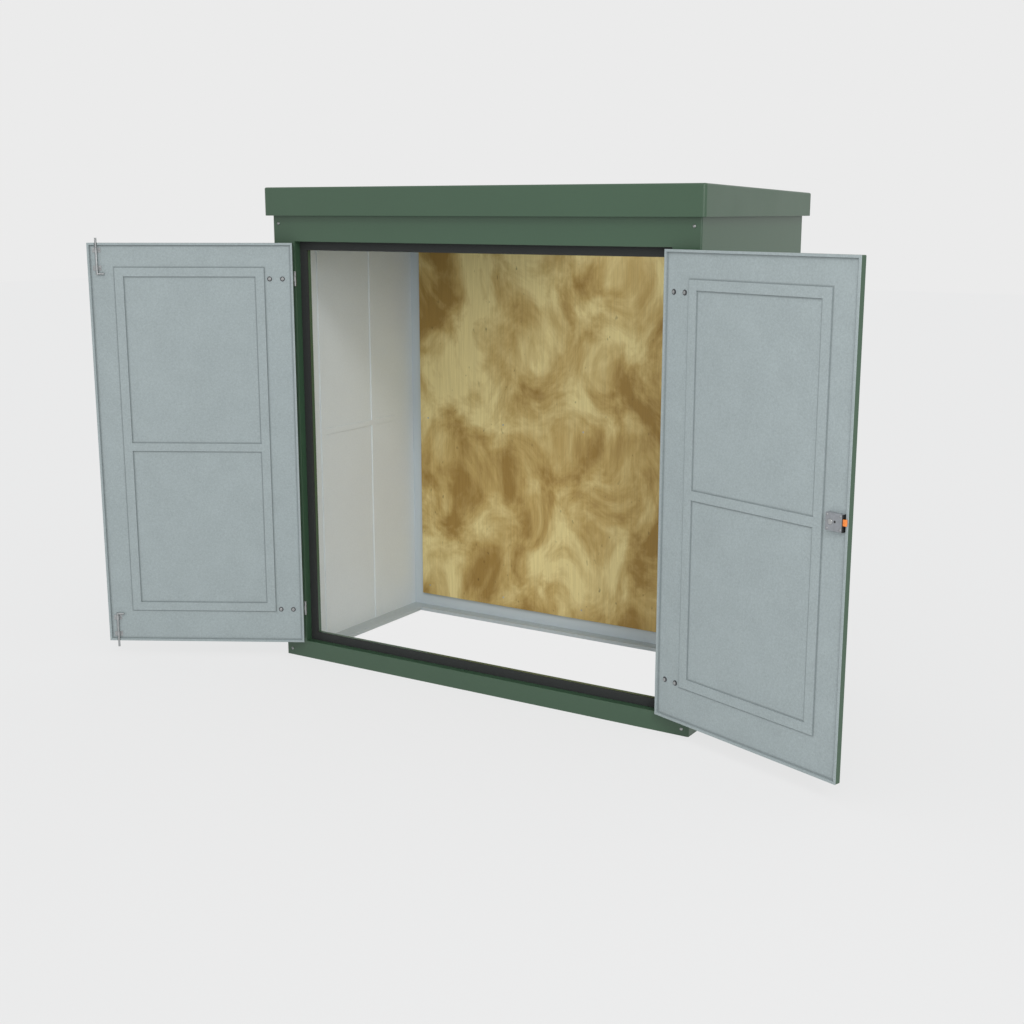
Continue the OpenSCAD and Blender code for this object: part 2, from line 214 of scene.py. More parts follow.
@dataclass(frozen=True)
class Flowcoat:
    """Brushed-on inner coat: fine mottling over the glass mat, with a faint weave of strands, and painted shade where
    the mesh marks creases.
    """

    name: str
    colour: Colour
    rough: float = 0.55
    mottle: float = 0.10
    # share of painted shade at the feet of ribs and lip, read from a mesh attribute
    crease: float = 0.0

    def paint(self, graph: Graph) -> bpy.types.NodeSocket:
        """The colour, mottled at two sizes, and darkened by painted shade where the mesh marks creases."""
        low = tuple(c * (1 - self.mottle) for c in self.colour)
        high = tuple(c * (1 + self.mottle) for c in self.colour)
        fine = graph.noise(150, 4, 0.7, twist=0.6)
        broad = graph.noise(9, 3, 0.55)
        both = graph.sum("ADD", graph.sum("MULTIPLY", fine, 0.8), graph.sum("MULTIPLY", broad, 0.2))
        tone = graph.ramp(both, (0.38, low), (0.62, high))
        # painted shade: the mesh attribute darkens the colour towards 45% at the feet of ribs and lip
        crease = graph.node("ShaderNodeAttribute", attribute_name="crease").outputs["Fac"]
        return graph.blend(graph.sum("MULTIPLY", crease, self.crease), tone, tuple(c * 0.45 for c in self.colour))

    def build(self) -> bpy.types.Material:
        """Makes the material."""
        graph = Graph(self.name)
        graph.set(Base_Color=self.paint(graph),
                  Roughness=graph.spread(graph.noise(60, 3), self.rough - 0.06, self.rough + 0.1))
        graph.bump(graph.noise(150, 4, 0.7, twist=0.6), 0.6 * MM, 0.5)
        graph.bump(graph.noise(14, 2), 0.8 * MM, 0.3)
        return graph.material


@dataclass(frozen=True)
class TwoSided:
    """Wall finish: gelcoat outside, flowcoat wherever a point lies in the box of the room."""

    name: str
    outside: Gelcoat
    inside: Flowcoat
    low: Point
    high: Point
    back_y: float
    back_colour: Colour

    def build(self) -> bpy.types.Material:
        """Makes the material."""
        graph = Graph(self.name)
        split = graph.node("ShaderNodeSeparateXYZ")
        graph.feed(split.inputs["Vector"], graph.coords)
        share: object = 1.0
        for axis in range(3):
            value = split.outputs[axis]
            over = graph.sum("GREATER_THAN", value, self.low[axis])
            under = graph.sum("LESS_THAN", value, self.high[axis])
            share = graph.sum("MULTIPLY", share, graph.sum("MULTIPLY", over, under))
        at_back = graph.sum("GREATER_THAN", split.outputs["Y"], self.back_y)
        lining = graph.blend(at_back, self.inside.paint(graph), self.back_colour)
        graph.set(Base_Color=graph.blend(share, self.outside.paint(graph), lining),
                  Roughness=graph.spread(share, self.outside.rough, self.inside.rough, 0, 1),
                  Specular_IOR_Level=graph.spread(share, 0.58, 0.5, 0, 1))
        graph.bump(graph.noise(24, 2), 0.5 * MM, 0.35)
        fine = graph.sum("MULTIPLY", graph.noise(150, 4, 0.7, twist=0.6), share)
        graph.bump(fine, 0.4 * MM, 0.4)
        return graph.material


@dataclass(frozen=True)
class Foam:
    """Closed-cell gasket foam: matt, with tiny open cells."""

    name: str
    colour: Colour

    def build(self) -> bpy.types.Material:
        """Makes the material."""
        graph = Graph(self.name)
        cells = graph.noise(900, 3, 0.6)
        shade = tuple(c * 1.7 for c in self.colour)
        graph.set(Base_Color=graph.ramp(cells, (0.4, self.colour), (0.7, shade)))
        graph.shader.inputs["Roughness"].default_value = 0.92
        graph.shader.inputs["Specular IOR Level"].default_value = 0.25
        graph.bump(cells, 0.35 * MM, 0.7)
        return graph.material


@dataclass(frozen=True)
class Plywood:
    """Sanded plywood: cloudy figure, fine upright grain, small knots, and plies on its edges."""

    name: str
    pale: Colour
    warm: Colour
    dark: Colour
    face_y: float
    plies: int = 7
    thick: float = 18 * MM

    def build(self) -> bpy.types.Material:
        """Makes the material."""
        graph = Graph(self.name)
        cloud = graph.noise(3.6, 6, 0.6, stretch=(1.0, 1.0, 0.75), twist=0.7)
        figure = graph.ramp(cloud, (0.38, self.dark), (0.49, self.warm), (0.63, self.pale))
        grain = graph.noise(34, 5, 0.65, stretch=(6.0, 1.0, 0.18), twist=0.25)
        face = graph.blend(0.38, figure, graph.ramp(grain, (0.3, (0.55, 0.5, 0.42)), (0.66, (1, 1, 1))), "MULTIPLY")
        fleck = graph.noise(46, 2, 0.5, stretch=(1.0, 1.0, 0.5))
        knot = graph.spread(fleck, 0, 0.6, 0.69, 0.78)
        face = graph.blend(knot, face, tuple(c * 0.28 for c in self.dark))
        split = graph.node("ShaderNodeSeparateXYZ")
        graph.feed(split.inputs["Vector"], graph.coords)
        depth = graph.sum("SUBTRACT", split.outputs["Y"], self.face_y)
        layer = graph.sum("MODULO", graph.sum("MULTIPLY", depth, self.plies / self.thick), 2.0)
        edge = graph.blend(graph.sum("GREATER_THAN", layer, 1.0), self.pale, self.dark)
        graph.set(Base_Color=graph.blend(graph.sum("GREATER_THAN", depth, 0.6 * MM), face, edge),
                  Roughness=graph.spread(grain, 0.5, 0.68))
        graph.shader.inputs["Specular IOR Level"].default_value = 0.35
        graph.bump(grain, 0.3 * MM, 0.5)
        return graph.material


@dataclass(frozen=True)
class Metal:
    """Bare metal with drawn lines along one axis, dulled a little in patches."""

    name: str
    colour: Colour
    rough: float = 0.32
    drawn: Point = (1, 1, 0.06)

    def build(self) -> bpy.types.Material:
        """Makes the material."""
        graph = Graph(self.name)
        lines = graph.noise(1500, 2, 0.6, stretch=self.drawn)
        patch = graph.noise(45, 4, 0.6)
        dull = tuple(c * 0.78 for c in self.colour)
        graph.set(Base_Color=graph.ramp(patch, (0.35, dull), (0.6, self.colour)),
                  Roughness=graph.spread(lines, self.rough - 0.08, self.rough + 0.14))
        graph.shader.inputs["Metallic"].default_value = 1.0
        graph.bump(lines, 0.03 * MM, 0.5)
        return graph.material


@dataclass(frozen=True)
class Lacquer:
    """Paint or moulded plastic with a fine stipple."""

    name: str
    colour: Colour
    rough: float = 0.45
    stipple: float = 0.06

    def build(self) -> bpy.types.Material:
        """Makes the material."""
        graph = Graph(self.name)
        worn = tuple(min(1.0, c * 1.18 + 0.01) for c in self.colour)
        graph.set(Base_Color=graph.ramp(graph.noise(70, 4), (0.35, self.colour), (0.75, worn)),
                  Roughness=graph.spread(graph.noise(160, 3), self.rough - 0.06, self.rough + 0.1))
        graph.bump(graph.noise(1400, 2), self.stipple * MM, 0.6)
        return graph.material


# ---------------------------------------------------------------- mesh making


def add_piece(name: str, mesh: bpy.types.Mesh, material: bpy.types.Material) -> bpy.types.Object:
    """Puts a finished mesh in the scene at the origin.

    Args:
        name: the piece's name.
        mesh: its mesh, in the row's own place.
        material: its finish.

    Returns:
        The new object.
    """
    mesh.materials.clear()
    mesh.materials.append(material)
    made = bpy.data.objects.new(name, mesh)
    bpy.context.scene.collection.objects.link(made)
    return made


def finish_mesh(bm: bmesh.types.BMesh, name: str, smooth_below: float = 35.0) -> bpy.types.Mesh:
    """Turns a working mesh into a mesh with outward faces, smooth where it bends gently.

    Args:
        bm: the working mesh, which is freed.
        name: the mesh's name.
        smooth_below: edges that bend less than this many degrees are smooth.

    Returns:
        The mesh.
    """
    bmesh.ops.remove_doubles(bm, verts=bm.verts, dist=0.01 * MM)
    bmesh.ops.recalc_face_normals(bm, faces=bm.faces)
    for face in bm.faces:
        face.smooth = True
    area = {face: face.calc_area() for face in bm.faces}
    for edge in bm.edges:
        sizes = sorted(area[face] for face in edge.link_faces)
        gentle = edge.is_manifold and edge.calc_face_angle(0) < math.radians(smooth_below)
        edge.smooth = gentle and sizes[-1] < 12 * sizes[0]
    mesh = bpy.data.meshes.new(name)
    bm.to_mesh(mesh)
    bm.free()
    return mesh


def loft(bm: bmesh.types.BMesh, loops: Sequence[Loop], cap_first: bool = False, cap_last: bool = False) -> None:
    """Joins closed loops of equal length by quads.

    Args:
        bm: the working mesh to add to.
        loops: the loops, in order.
        cap_first: closes the first loop with a face.
        cap_last: closes the last loop with a face.
    """
    rows = [[bm.verts.new(p) for p in loop] for loop in loops]
    count = len(rows[0])
    for below, above in zip(rows, rows[1:]):
        for i in range(count):
            j = (i + 1) % count
            bm.faces.new((below[i], below[j], above[j], above[i]))
    if cap_first:
        bm.faces.new(rows[0][::-1])
    if cap_last:
        bm.faces.new(rows[-1])


def rounded_loop(low: tuple[float, float], high: tuple[float, float], radius: float,
                 place: Callable[[float, float], Vector], steps: int = 5) -> Loop:
    """A rectangle's outline with round corners.

    Args:
        low: its lowest corner.
        high: its highest corner.
        radius: the corners' radius.
        place: turns a point of the outline into a place in the row.
        steps: how many segments a corner has.

    Returns:
        The loop's points, anticlockwise.
    """
    radius = max(radius, 0.02 * MM)
    centres = ((high[0] - radius, high[1] - radius, 0), (low[0] + radius, high[1] - radius, 90),
               (low[0] + radius, low[1] + radius, 180), (high[0] - radius, low[1] + radius, 270))
    loop = []
    for u, v, start in centres:
        for step in range(steps + 1):
            angle = math.radians(start + 90 * step / steps)
            loop.append(place(u + radius * math.cos(angle), v + radius * math.sin(angle)))
    return loop


def quarter_round(radius: float, steps: int = 4) -> Iterator[tuple[float, float]]:
    """Steps round an edge: how far in, and how far short of the top, from the side up to the top."""
    for step in range(steps + 1):
        angle = math.radians(90 * step / steps)
        yield radius * (1 - math.cos(angle)), radius * (1 - math.sin(angle))


def softened(name: str, node: str, width: float, pick: Callable[[Vector], bool] = lambda p: True,
             segments: int = 3) -> bpy.types.Mesh:
    """A copy of a frame node with its sharp edges rounded.

    Args:
        name: the new mesh's name.
        node: the frame's node.
        width: how far the rounding reaches, in metres.
        pick: says whether an edge is rounded, from the middle of it.
        segments: how many facets the rounding has.

    Returns:
        The mesh.
    """
    bm = bmesh.new()
    bm.from_mesh(frame["nodes"][node].data)
    bmesh.ops.remove_doubles(bm, verts=bm.verts, dist=0.01 * MM)
    bmesh.ops.dissolve_limit(bm, angle_limit=math.radians(1), verts=bm.verts, edges=bm.edges)
    sharp = [e for e in bm.edges if e.is_manifold and e.calc_face_angle(0) > math.radians(30)
             and pick((e.verts[0].co + e.verts[1].co) / 2)]
    bmesh.ops.bevel(bm, geom=sharp, offset=width, segments=segments, profile=0.5, affect="EDGES",
                    clamp_overlap=True)
    return finish_mesh(bm, name, 50)


def drilled(mesh: bpy.types.Mesh, holes: Sequence[tuple[Vector, Vector, float]]) -> bpy.types.Mesh:
    """Drills round upright holes in a closed mesh.

    Args:
        mesh: the mesh to drill, which is left as it is.
        holes: the lower end, the upper end and the radius of each hole.

    Returns:
        A new mesh with the holes.
    """
    carrier = bpy.data.objects.new("drilling", mesh)
    bpy.context.scene.collection.objects.link(carrier)
    drills = []
    for low, high, radius in holes:
        bm = bmesh.new()
        loft(bm, [[end + Vector((radius * math.cos(math.tau * i / 32), radius * math.sin(math.tau * i / 32), 0))
                   for i in range(32)] for end in (low, high)], cap_first=True, cap_last=True)
        drill = bpy.data.objects.new("drill", finish_mesh(bm, "drill"))
        bpy.context.scene.collection.objects.link(drill)
        drills.append(drill)
        cut = carrier.modifiers.new("drill", "BOOLEAN")
        cut.operation, cut.solver, cut.object = "DIFFERENCE", "EXACT", drill
    bpy.context.view_layer.update()
    result = bpy.data.meshes.new_from_object(carrier.evaluated_get(bpy.context.evaluated_depsgraph_get()))
    for spent in (carrier, *drills):
        bpy.data.objects.remove(spent)
    bm = bmesh.new()
    bm.from_mesh(result)
    return finish_mesh(bm, mesh.name)


def dress(node: str, material: bpy.types.Material) -> None:
    """Gives a frame node its finish, with its mesh left as it is."""
    slots = frame["nodes"][node].data.materials
    slots.clear()
    slots.append(material)


def stand_in(piece: bpy.types.Object, body: str, slot: str, *nodes: str) -> None:
    """Makes a piece ride on a body and stand for the nodes that it replaces."""
    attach(piece, body)
    if nodes:
        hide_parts(*nodes)
    LOG.info("%s rides on %s: %d faces", piece.name, body, len(piece.data.polygons))


# ------------------------------------------------------------------ fasteners


class Head(Enum):
    """Kinds of fastener: rings of radius, height and how hexagonal the ring is."""

    WASHERED_BOLT = ((0.0, 0.6, 1), (2.6, 0.6, 1), (2.6, 4.4, 1), (3.6, 5.0, 0), (5.6, 4.2, 0), (6.6, 2.2, 0),
                     (6.6, 1.6, 0), (9.4, 1.6, 0), (10.0, 1.2, 0), (10.0, 0.0, 0))
    NUT = ((0.0, 6.2, 0), (2.4, 6.2, 0), (2.9, 5.6, 0), (2.9, 5.0, 0), (5.0, 5.0, 1), (5.8, 4.4, 1),
           (5.8, 1.2, 1), (5.8, 0.8, 0))
    WASHER = ((0.0, 1.5, 0), (3.0, 1.5, 0), (9.8, 1.5, 0), (10.4, 1.1, 0), (10.4, 0.0, 0))
    DOME_SCREW = ((0.0, 1.3, 1), (1.9, 1.3, 1), (1.9, 3.2, 1), (3.0, 3.6, 0), (5.0, 2.8, 0), (6.2, 1.3, 0),
                  (6.5, 0.3, 0), (6.5, 0.0, 0))
    SMALL_SCREW = ((0.0, 0.4, 1), (1.1, 0.4, 1), (1.1, 1.5, 1), (2.2, 1.4, 0), (3.2, 0.8, 0), (3.6, 0.0, 0))
    COUNTERSUNK = ((0.0, -0.9, 1), (1.3, -0.9, 1), (1.3, 0.35, 1), (3.8, 0.35, 0), (4.4, 0.1, 0), (4.5, -0.4, 0))

    def mesh(self) -> bpy.types.Mesh:
        """Turns the rings into one closed head, standing on its own origin."""
        bm = bmesh.new()
        sides = 24
        loops = []
        for radius, height, hexagon in self.value[1:]:
            loop = []
            for i in range(sides):
                angle = math.tau * i / sides
                flat = math.cos(math.pi / 6) / math.cos(angle % (math.pi / 3) - math.pi / 6)
                reach = radius * MM * (flat / math.cos(math.pi / 6) if hexagon else 1.0)
                loop.append(Vector((reach * math.cos(angle), reach * math.sin(angle), height * MM)))
            loops.append(loop)
        loft(bm, loops, cap_first=True, cap_last=True)
        return finish_mesh(bm, self.name.lower(), 40)


class FastenerTree:
    """A node tree that stands one fastener at each point, aimed along the point's own direction."""

    def __init__(self) -> None:
        """Builds the tree with its named inputs."""
        tree = bpy.data.node_groups.new("set_out_fasteners", "GeometryNodeTree")
        self.tree = tree
        face = tree.interface
        face.new_socket("Points", in_out="INPUT", socket_type="NodeSocketGeometry")
        self.sockets = {
            key: face.new_socket(key, in_out="INPUT", socket_type=kind).identifier
            for key, kind in (("Fastener", "NodeSocketObject"), ("Size", "NodeSocketFloat"),
                              ("Seed", "NodeSocketInt"), ("Finish", "NodeSocketMaterial"))}
        face.new_socket("Geometry", in_out="OUTPUT", socket_type="NodeSocketGeometry")
        given = tree.nodes.new("NodeGroupInput")
        aim = tree.nodes.new("GeometryNodeInputNamedAttribute")
        aim.data_type = "FLOAT_VECTOR"
        aim.inputs["Name"].default_value = "aim"
        align = tree.nodes.new("FunctionNodeAlignRotationToVector")
        align.axis = "Z"
        turn = tree.nodes.new("FunctionNodeRandomValue")
        turn.data_type = "FLOAT_VECTOR"
        turn.inputs["Min"].default_value = (0, 0, 0)
        turn.inputs["Max"].default_value = (0, 0, math.tau)
        spin = tree.nodes.new("FunctionNodeRotateRotation")
        spin.rotation_space = "LOCAL"
        euler = tree.nodes.new("FunctionNodeEulerToRotation")
        shape = tree.nodes.new("GeometryNodeObjectInfo")
        place = tree.nodes.new("GeometryNodeInstanceOnPoints")
        real = tree.nodes.new("GeometryNodeRealizeInstances")
        paint = tree.nodes.new("GeometryNodeSetMaterial")
        result = tree.nodes.new("NodeGroupOutput")
        seed = next(s for s in turn.inputs if s.name == "Seed")
        for source, target in (
                (given.outputs["Points"], place.inputs["Points"]),
                (given.outputs["Fastener"], shape.inputs["Object"]),
                (given.outputs["Size"], place.inputs["Scale"]),
                (given.outputs["Seed"], seed),
                (given.outputs["Finish"], paint.inputs["Material"]),
                (aim.outputs["Attribute"], align.inputs["Vector"]),
                (align.outputs["Rotation"], spin.inputs["Rotation"]),
                (turn.outputs["Value"], euler.inputs["Euler"]),
                (euler.outputs["Rotation"], spin.inputs["Rotate By"]),
                (spin.outputs["Rotation"], place.inputs["Rotation"]),
                (shape.outputs["Geometry"], place.inputs["Instance"]),
                (place.outputs["Instances"], real.inputs["Geometry"]),
                (real.outputs["Geometry"], paint.inputs["Geometry"]),
                (paint.outputs["Geometry"], result.inputs["Geometry"])):
            tree.links.new(source, target)

    def build(self, name: str, head: Head, points: Sequence[tuple[Vector, Vector]],
              material: bpy.types.Material, seed: int, size: float = 1.0) -> bpy.types.Object:
        """Sets out one kind of fastener.

        Args:
            name: the piece's name.
            head: the kind of fastener.
            points: each fastener's seat and the direction it stands in.
            material: the finish.
            seed: the seed of the turns of the heads.
            size: a scale on the head's own size.

        Returns:
            One plain mesh object with every fastener.
        """
        shape = bpy.data.objects.new(name + "_shape", head.mesh())
        dots = bpy.data.meshes.new(name + "_points")
        dots.from_pydata([tuple(p) for p, _ in points], [], [])
        aims = dots.attributes.new("aim", "FLOAT_VECTOR", "POINT")
        for item, (_, direction) in zip(aims.data, points):
            item.vector = direction
        carrier = bpy.data.objects.new(name + "_carrier", dots)
        bpy.context.scene.collection.objects.link(shape)
        bpy.context.scene.collection.objects.link(carrier)
        modifier = carrier.modifiers.new("fasteners", "NODES")
        modifier.node_group = self.tree
        for key, value in (("Fastener", shape), ("Size", size), ("Seed", seed), ("Finish", material)):
            modifier[self.sockets[key]] = value
        bpy.context.view_layer.update()
        graph = bpy.context.evaluated_depsgraph_get()
        mesh = bpy.data.meshes.new_from_object(carrier.evaluated_get(graph))
        carrier.modifiers.remove(modifier)
        bpy.data.objects.remove(carrier)
        bpy.data.objects.remove(shape)
        mesh.name = name
        return add_piece(name, mesh, material)


# ----------------------------------------------------------------------- body


@dataclass
class Body:
    """The moulded body with its front frame, taken from the frame's walls."""

    green: Gelcoat
    grey: Flowcoat
    back_colour: Colour = (0.58, 0.64, 0.67)
    corner_r: float = 6 * MM
    reveal_r: float = 2.5 * MM
    low: Vector = field(init=False)
    high: Vector = field(init=False)
    inner: Vector = field(init=False)
    door_low: Vector = field(init=False)
    door_high: Vector = field(init=False)
    frame_y: float = field(init=False)

    def __post_init__(self) -> None:
        """Reads the walls, the doorway and the stop from the frame."""
        left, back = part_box("left_wall"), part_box("back_wall")
        jamb, header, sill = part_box("left_jamb"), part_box("front_header"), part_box("front_sill")
        self.low = Vector((left[0].x, jamb[0].y, 0))
        self.high = Vector((-left[0].x, back[1].y, back[1].z))
        self.inner = Vector((-left[1].x, back[0].y, back[1].z))
        self.door_low = Vector((header[0].x, jamb[0].y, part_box("left_gasket")[0].z))
        self.door_high = Vector((header[1].x, jamb[1].y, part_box("left_gasket")[1].z))
        self.stop_w = jamb[1].x - header[0].x
        self.stop_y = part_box("left_gasket")[1].y
        self.frame_y = jamb[1].y
        self.face_t = left[0].y - jamb[0].y
        self.reveal_t = sill[1].z - self.stop_w - self.door_low.z + 20 * MM

    def doorway_ring(self, out: float, y: float) -> Loop:
        """The doorway's rectangle, grown outwards by a distance, at a depth."""
        x, z0, z1 = self.door_high.x + out, self.door_low.z - out, self.door_high.z + out
        return [Vector((-x, y, z0)), Vector((x, y, z0)), Vector((x, y, z1)), Vector((-x, y, z1))]

    def plan(self, z: float) -> Loop:
        """The body's outer outline with round corners, at a height."""
        return rounded_loop((self.low.x, self.low.y), (self.high.x, self.high.y), self.corner_r,
                            lambda x, y: Vector((x, y, z)))

    def room_plan(self, z: float) -> Loop:
        """The outline of the room inside the walls, at a height."""
        x, y0, y1 = self.inner.x, self.low.y + self.face_t, self.inner.y
        return [Vector((x, y1, z)), Vector((-x, y1, z)), Vector((-x, y0, z)), Vector((x, y0, z))]

    def mesh(self) -> bpy.types.Mesh:
        """Builds walls, front frame, lined doorway and stop as one moulding."""
        bm = bmesh.new()
        y0 = self.low.y
        rings = [self.doorway_ring(-self.stop_w, self.stop_y), self.doorway_ring(0, self.stop_y)]
        rings += [self.doorway_ring(inwards, y0 + short) for inwards, short in quarter_round(self.reveal_r, 3)]
        flat_x = self.high.x - self.corner_r
        top = self.high.z
        rings.append([Vector((-flat_x, y0, 0)), Vector((flat_x, y0, 0)),
                      Vector((flat_x, y0, top)), Vector((-flat_x, y0, top))])
        back = [self.doorway_ring(-self.stop_w, self.frame_y), self.doorway_ring(self.reveal_t, self.frame_y),
                self.doorway_ring(self.reveal_t, y0 + self.face_t)]
        x, y = self.inner.x, y0 + self.face_t
        back.append([Vector((-x, y, 0)), Vector((x, y, 0)), Vector((x, y, top)), Vector((-x, y, top))])
        loft(bm, back[::-1] + rings)
        for outline, reverse in ((self.plan, False), (self.room_plan, True)):
            low_row = [bm.verts.new(p) for p in outline(0)]
            high_row = [bm.verts.new(p) for p in outline(top)]
            for i in range(len(low_row)):
                j = (i + 1) % len(low_row)
                front = all(abs(low_row[k].co.y - (y if reverse else y0)) < 0.01 * MM for k in (i, j))
                if not front:
                    bm.faces.new((low_row[i], low_row[j], high_row[j], high_row[i]))
        bmesh.ops.remove_doubles(bm, verts=bm.verts, dist=0.01 * MM)
        for z in (0, top):
            rim = [e for e in bm.edges if e.is_boundary and all(abs(v.co.z - z) < 0.01 * MM for v in e.verts)]
            bmesh.ops.triangle_fill(bm, edges=rim, use_beauty=True)
        return finish_mesh(bm, "body_moulding")

    def build(self, fasteners: FastenerTree, steel: bpy.types.Material,
              keepers: Sequence[tuple[Vector, Vector, float]]) -> None:
        """Makes the moulding and the four screws at the corners of the front face.

        Args:
            fasteners: the tree that sets out screws.
            steel: the screws' finish.
            keepers: the holes that take the shoot bolts.
        """
        wall = TwoSided("wall_gelcoat", self.green, self.grey,
                        (-self.inner.x - 1 * MM, self.frame_y - 1 * MM, -1.0),
                        (self.inner.x + 1 * MM, self.inner.y + 1 * MM, self.high.z + 1.0),
                        self.inner.y - 0.5 * MM, self.back_colour).build()
        piece = add_piece("body_moulding", drilled(self.mesh(), keepers), wall)
        stand_in(piece, "enclosure", "wall_gelcoat", "left_wall", "right_wall", "back_wall", "left_jamb",
                 "right_jamb", "front_header", "front_sill")
        aside, down, up = 30 * MM, 28 * MM, 100 * MM
        seats = [(Vector((side * (self.high.x - aside), self.low.y, z)), Vector((0, -1, 0)))
                 for side in (-1, 1) for z in (down, self.high.z - up)]
        screws = fasteners.build("corner_screws", Head.DOME_SCREW, seats, steel, 3)
        stand_in(screws, "enclosure", "stainless_steel")


@dataclass
class Roof:
    """The one-piece roof: a falling top with rounded edges and a thin hanging rim."""

    edge_r: float = 7 * MM
    corner_r: float = 12 * MM

    def build(self, material: bpy.types.Material, seat_z: float) -> None:
        """Lofts the roof from under its seat, round the rim and over the top.

        Args:
            material: the finish.
            seat_z: the height of the walls' tops.
        """
        low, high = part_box("roof")
        verts = [v.co for v in frame["nodes"]["roof"].data.vertices]
        rear_z = max(v.z for v in verts if v.y > high.y - 1 * MM)
        rim_t = min(abs(v.x - low.x) for v in verts if v.x > low.x + 0.5 * MM)
        fall = (rear_z - high.z) / (high.y - low.y)

        def ring(inset: float, height: Callable[[float], float]) -> Loop:
            """One level outline of the roof, set in from its edge."""
            return rounded_loop((low.x + inset, low.y + inset), (high.x - inset, high.y - inset),
                                self.corner_r - inset, lambda x, y: Vector((x, y, height(y))))

        lip = 1 * MM
        loops = [ring(rim_t, lambda y: seat_z), ring(rim_t, lambda y: low.z + lip),
                 ring(rim_t - lip, lambda y: low.z), ring(lip, lambda y: low.z), ring(0, lambda y: low.z + lip)]
        for inset, short in quarter_round(self.edge_r, 5):
            loops.append(ring(inset, lambda y, s=short: high.z + fall * (y - low.y) - s))
        bm = bmesh.new()
        loft(bm, loops, cap_first=True, cap_last=True)
        piece = add_piece("roof_moulding", finish_mesh(bm, "roof_moulding"), material)
        stand_in(piece, "enclosure", "green_gelcoat", "roof")


@dataclass
class Gasket:
    """Foam strip round the doorway's stop, mitred at its corners, with a crowned face."""

    crown: float = 1.2 * MM
    gap: float = 0.6 * MM

    def build(self, material: bpy.types.Material, body: Body) -> None:
        """Sweeps the strip's section round the doorway.

        Args:
            material: the finish.
            body: the body whose doorway it follows.
        """
        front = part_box("left_gasket")[0].y
        width = body.stop_w
        steps = 8
        bm = bmesh.new()
        section = [(-width, body.stop_y)]
        for i in range(steps + 1):
            share = i / steps
            lift = self.crown * (1 - (2 * share - 1) ** 2)
            section.append((-width + self.gap + share * (width - 2 * self.gap), front + self.crown - lift))
        section.append((0, body.stop_y))
        loops = [body.doorway_ring(out, y) for out, y in section]
        loft(bm, loops + loops[:1])
        piece = add_piece("doorway_gasket", finish_mesh(bm, "doorway_gasket", 20), material)
        stand_in(piece, "enclosure", "gasket_foam", "left_gasket", "right_gasket", "top_gasket", "bottom_gasket")


@dataclass
class Interior:
    """What shows through the doorway: ribs on the side walls, base flanges and the backboard."""

    screw_margin: float = 45 * MM

    def build(self, grey: bpy.types.Material, pale: bpy.types.Material, ply: bpy.types.Material,
              steel: bpy.types.Material, fasteners: FastenerTree) -> None:
        """Dresses the flanges, softens the ribs and the board, and screws the board on.

        Args:
            grey: the flanges' finish, the wall flowcoat darkened as painted shade.
            pale: the wall ribs' finish.
            ply: the backboard's finish.
            steel: the screws' finish.
            fasteners: the tree that sets out screws.
        """
        for side in ("left", "right"):
            node = f"{side}_wall_ribs"
            wall_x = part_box(f"{side}_wall")[1 if side == "left" else 0].x
            mesh = softened(node, node, 1.2 * MM, lambda p, w=wall_x: abs(p.x - w) > 1 * MM, 3)
            stand_in(add_piece(f"{side}_ribs", mesh, pale), "enclosure", "grey_gelcoat", node)
        for side in ("left", "right", "back", "front"):
            dress(f"{side}_base_flange", grey)
        board = softened("board", "backboard", 1.0 * MM, segments=2)
        stand_in(add_piece("plywood_board", board, ply), "enclosure", "plywood", "backboard")
        low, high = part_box("backboard")
        inset = self.screw_margin
        columns = 5
        seats = []
        for z in (low.z + inset, (low.z + high.z) / 2, high.z - inset):
            for i in range(columns):
                x = low.x + inset + i * (high.x - low.x - 2 * inset) / (columns - 1)
                seats.append((Vector((x, low.y, z)), Vector((0, -1, 0))))
        screws = fasteners.build("board_screws", Head.COUNTERSUNK, seats, steel, 11)
        stand_in(screws, "enclosure", "stainless_steel")


# ---------------------------------------------------------------------- doors


class Side(Enum):
    """Which side a door hangs on: the sign of its hinge's X."""

    LEFT = -1
    RIGHT = 1

    @property
    def word(self) -> str:
        """The side's name, as the nodes spell it."""
        return self.name.lower()


